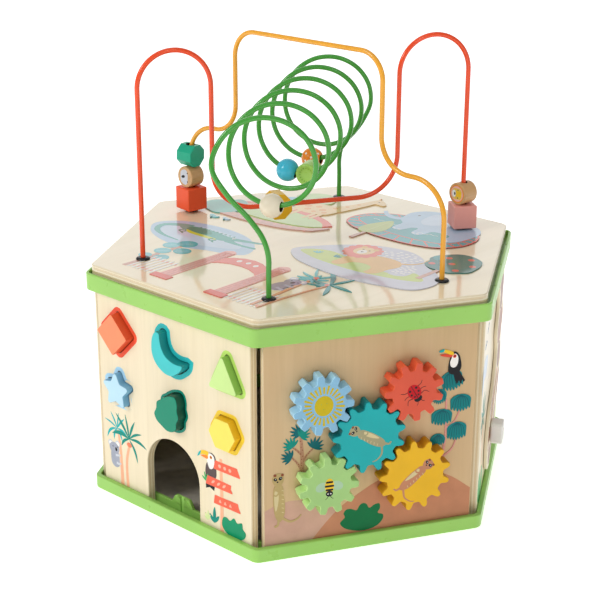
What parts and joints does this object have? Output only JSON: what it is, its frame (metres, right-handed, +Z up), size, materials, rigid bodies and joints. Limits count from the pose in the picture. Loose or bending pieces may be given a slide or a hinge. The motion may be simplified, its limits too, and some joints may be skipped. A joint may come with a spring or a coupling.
{
  "type": "activity centre",
  "caption": "Hexagonal wooden toddler activity centre with a shape-sorter side, meshing gear wall, sliding and spinning side panels, and bead wires with beads on the top board.",
  "frame": {"origin": "centre of the base on the surface it stands on, at the centre of the bounding box's underside", "axes": "+Z up, -Y out of the shape-sorter side, +X towards the corner between the gear wall and the track panel"},
  "size_m": [0.4014, 0.3575, 0.3974],
  "materials": {
    "green_frame": "smooth moulded, light gloss",
    "grey_board": "thin painted fibreboard, matt",
    "printed_ply": "birch plywood with printed pictures under clear satin lacquer",
    "red_wire": "gloss powder coat on steel wire",
    "yellow_wire": "gloss powder coat on steel wire",
    "green_wire": "gloss powder coat on steel wire",
    "black_bush": "satin black moulding",
    "orange_bead": "solid wood, satin toy paint",
    "natural_bead": "clear lacquered wood with a printed animal face",
    "teal_bead": "solid wood, satin toy paint",
    "pink_bead": "solid wood, satin toy paint",
    "yellow_bead": "solid wood, satin toy paint",
    "cream_bead": "solid wood, satin toy paint",
    "blue_bead": "solid wood, gloss toy paint",
    "lime_bead": "solid wood, satin toy paint",
    "orange_ball": "solid wood, gloss toy paint with white spots",
    "block_square_orange": "solid wood, satin toy paint",
    "block_crescent_teal": "solid wood, satin toy paint",
    "block_triangle_lime": "solid wood, satin toy paint",
    "block_star_blue": "solid wood, satin toy paint",
    "block_bush_green": "solid wood, satin toy paint",
    "block_hexagon_yellow": "solid wood, satin toy paint",
    "gear_teal": "cut plywood, satin paint, printed face",
    "gear_blue": "cut plywood, satin paint, printed face",
    "gear_red": "cut plywood, satin paint, printed face",
    "gear_lime": "cut plywood, satin paint, printed face",
    "gear_yellow": "cut plywood, satin paint, printed face",
    "natural_pin": "turned wood, unpainted",
    "cream_board": "thin plywood overlay, satin paint",
    "white_knob": "solid wood, satin toy paint",
    "disc_blue": "solid wood, satin toy paint",
    "disc_green": "solid wood, satin toy paint",
    "disc_coral": "solid wood, satin toy paint",
    "red_car": "solid wood, satin toy paint",
    "teal_hand": "thin plywood, satin paint",
    "red_hand": "thin plywood, satin paint"
  },
  "bodies": {
    "body": {"base_frame": "green_frame", "floor_board": "grey_board", "top_frame": "green_frame", "top_board": "printed_ply", "wire_red": "red_wire", "wire_yellow": "yellow_wire", "wire_green": "green_wire", "grommet_green_front": "black_bush", "grommet_yellow_right": "black_bush", "grommet_red_rear": "black_bush", "grommet_green_rear": "black_bush", "grommet_yellow_left": "black_bush", "grommet_red_front": "black_bush", "panel_sorter": "printed_ply", "panel_gears": "printed_ply", "panel_track": "printed_ply", "track_board": "cream_board", "panel_discs": "printed_ply", "pivot_blue": "natural_pin", "pivot_green": "natural_pin", "pivot_coral": "natural_pin", "panel_road": "printed_ply", "panel_clock": "printed_ply", "clock_pin": "natural_pin"},
    "block_square_orange": {"block_square_orange": "block_square_orange"},
    "block_crescent_teal": {"block_crescent_teal": "block_crescent_teal"},
    "block_triangle_lime": {"block_triangle_lime": "block_triangle_lime"},
    "block_star_blue": {"block_star_blue": "block_star_blue"},
    "block_bush_green": {"block_bush_green": "block_bush_green"},
    "block_hexagon_yellow": {"block_hexagon_yellow": "block_hexagon_yellow"},
    "gear_teal": {"gear_teal": "gear_teal", "axle_teal": "natural_pin"},
    "gear_blue": {"gear_blue": "gear_blue", "axle_blue": "natural_pin"},
    "gear_red": {"gear_red": "gear_red", "axle_red": "natural_pin"},
    "gear_lime": {"gear_lime": "gear_lime", "axle_lime": "natural_pin"},
    "gear_yellow": {"gear_yellow": "gear_yellow", "axle_yellow": "natural_pin"},
    "bead_cube_orange": {"bead_cube_orange": "orange_bead"},
    "bead_disc_grey": {"bead_disc_grey_face": "natural_bead"},
    "bead_prism_teal": {"bead_prism_teal": "teal_bead"},
    "bead_cube_pink": {"bead_cube_pink": "pink_bead"},
    "bead_disc_tan": {"bead_disc_tan_face": "natural_bead"},
    "bead_prism_yellow": {"bead_prism_yellow": "yellow_bead"},
    "bead_ball_cream": {"bead_ball_cream": "cream_bead"},
    "bead_ball_blue": {"bead_ball_blue": "blue_bead"},
    "bead_wheel_lime": {"bead_wheel_lime": "lime_bead"},
    "bead_ball_orange": {"bead_ball_orange": "orange_ball"},
    "slider_knob": {"slider_knob_white": "white_knob", "slider_retainer_c": "natural_pin"},
    "disc_blue": {"disc_blue": "disc_blue"},
    "disc_green": {"disc_green": "disc_green"},
    "disc_coral": {"disc_coral": "disc_coral"},
    "slider_car": {"slider_car_red": "red_car", "slider_retainer_e": "natural_pin"},
    "clock_hour": {"clock_hand_hour": "teal_hand"},
    "clock_minute": {"clock_hand_minute": "red_hand"}
  },
  "joints": [
    {"name": "push_square_orange", "type": "slide", "parent": "body", "child": "block_square_orange", "axis": [0, -1, 0], "range_m": [-0.022, 0.014]},
    {"name": "push_crescent_teal", "type": "slide", "parent": "body", "child": "block_crescent_teal", "axis": [0, -1, 0], "range_m": [-0.022, 0.014]},
    {"name": "push_triangle_lime", "type": "slide", "parent": "body", "child": "block_triangle_lime", "axis": [0, -1, 0], "range_m": [-0.022, 0.014]},
    {"name": "push_star_blue", "type": "slide", "parent": "body", "child": "block_star_blue", "axis": [0, -1, 0], "range_m": [-0.022, 0.014]},
    {"name": "push_bush_green", "type": "slide", "parent": "body", "child": "block_bush_green", "axis": [0, -1, 0], "range_m": [-0.022, 0.014]},
    {"name": "push_hexagon_yellow", "type": "slide", "parent": "body", "child": "block_hexagon_yellow", "axis": [0, -1, 0], "range_m": [-0.022, 0.014]},
    {"name": "turn_gear_teal", "type": "hinge", "parent": "body", "child": "gear_teal", "pos_m": [0.14422, -0.0902, 0.1049], "axis": [0.866, -0.5, 0], "continuous": true},
    {"name": "turn_gear_blue", "type": "hinge", "parent": "body", "child": "gear_blue", "pos_m": [0.12448, -0.12438, 0.13844], "axis": [0.866, -0.5, 0], "continuous": true},
    {"name": "turn_gear_red", "type": "hinge", "parent": "body", "child": "gear_red", "pos_m": [0.1633, -0.05715, 0.13994], "axis": [0.866, -0.5, 0], "continuous": true},
    {"name": "turn_gear_lime", "type": "hinge", "parent": "body", "child": "gear_lime", "pos_m": [0.12715, -0.11977, 0.06595], "axis": [0.866, -0.5, 0], "continuous": true},
    {"name": "turn_gear_yellow", "type": "hinge", "parent": "body", "child": "gear_yellow", "pos_m": [0.16483, -0.05451, 0.06408], "axis": [0.866, -0.5, 0], "continuous": true},
    {"name": "lift_bead_cube_orange", "type": "slide", "parent": "body", "child": "bead_cube_orange", "axis": [0, 0, 1], "range_m": [0, 0.012]},
    {"name": "lift_bead_disc_grey", "type": "slide", "parent": "body", "child": "bead_disc_grey", "axis": [0, 0, 1], "range_m": [0, 0.0121]},
    {"name": "ride_bead_prism_teal", "type": "hinge", "parent": "body", "child": "bead_prism_teal", "pos_m": [-0.1185, 0, 0.2675], "axis": [0, 1, 0], "range_deg": [0, 24.09]},
    {"name": "lift_bead_cube_pink", "type": "slide", "parent": "body", "child": "bead_cube_pink", "axis": [0, 0, 1], "range_m": [0, 0.05]},
    {"name": "lift_bead_disc_tan", "type": "slide", "parent": "bead_cube_pink", "child": "bead_disc_tan", "axis": [0, 0, 1], "range_m": [0, 0.05]},
    {"name": "slide_bead_prism_yellow", "type": "slide", "parent": "body", "child": "bead_prism_yellow", "axis": [0.5, 0.866, 0], "range_m": [-0.008, 0.064]},
    {"name": "ride_bead_ball_cream", "type": "hinge", "parent": "body", "child": "bead_ball_cream", "pos_m": [0.0494, -0.09916, 0.32155], "axis": [-0.3107, 0.9505, 0], "range_deg": [-35, 35]},
    {"name": "ride_bead_ball_blue", "type": "hinge", "parent": "body", "child": "bead_ball_blue", "pos_m": [-0.00335, -0.00685, 0.32148], "axis": [-0.3173, 0.9467, -0.0557], "range_deg": [0, 35]},
    {"name": "ride_bead_wheel_lime", "type": "hinge", "parent": "body", "child": "bead_wheel_lime", "pos_m": [-0.00196, -0.01109, 0.32149], "axis": [-0.3164, 0.9472, 0.0519], "range_deg": [-35, 0]},
    {"name": "ride_bead_ball_orange", "type": "hinge", "parent": "body", "child": "bead_ball_orange", "pos_m": [-0.02856, 0.03576, 0.32154], "axis": [-0.3108, 0.9505, 0.0065], "range_deg": [-35, 35]},
    {"name": "slide_knob", "type": "slide", "parent": "body", "child": "slider_knob", "axis": [-0.3625, 0.6279, 0.6887], "range_m": [0, 0.0552]},
    {"name": "spin_disc_blue", "type": "hinge", "parent": "body", "child": "disc_blue", "pos_m": [-0.13272, -0.11012, 0.1595], "axis": [-0.866, -0.5, 0], "continuous": true},
    {"name": "spin_disc_green", "type": "hinge", "parent": "body", "child": "disc_green", "pos_m": [-0.13272, -0.11012, 0.079], "axis": [-0.866, -0.5, 0], "continuous": true},
    {"name": "spin_disc_coral", "type": "hinge", "parent": "body", "child": "disc_coral", "pos_m": [-0.16722, -0.05036, 0.119], "axis": [-0.866, -0.5, 0], "continuous": true},
    {"name": "drive_car", "type": "slide", "parent": "body", "child": "slider_car", "axis": [-0.5, -0.866, 0], "range_m": [0, 0.104]},
    {"name": "turn_clock_hour", "type": "hinge", "parent": "body", "child": "clock_hour", "pos_m": [0, 0.17, 0.108], "axis": [0, 1, 0], "continuous": true},
    {"name": "turn_clock_minute", "type": "hinge", "parent": "body", "child": "clock_minute", "pos_m": [0, 0.17, 0.108], "axis": [0, 1, 0], "continuous": true}
  ],
  "couplings": [
    {"joint": "turn_gear_blue", "follows": "turn_gear_teal", "ratio": -1.1818},
    {"joint": "turn_gear_red", "follows": "turn_gear_teal", "ratio": -1.1818},
    {"joint": "turn_gear_lime", "follows": "turn_gear_teal", "ratio": -1.1818},
    {"joint": "turn_gear_yellow", "follows": "turn_gear_teal", "ratio": -1},
    {"joint": "lift_bead_disc_grey", "follows": "lift_bead_cube_orange", "ratio": 1},
    {"joint": "ride_bead_prism_teal", "follows": "lift_bead_cube_orange", "rad_per_m": 34.9}
  ]
}
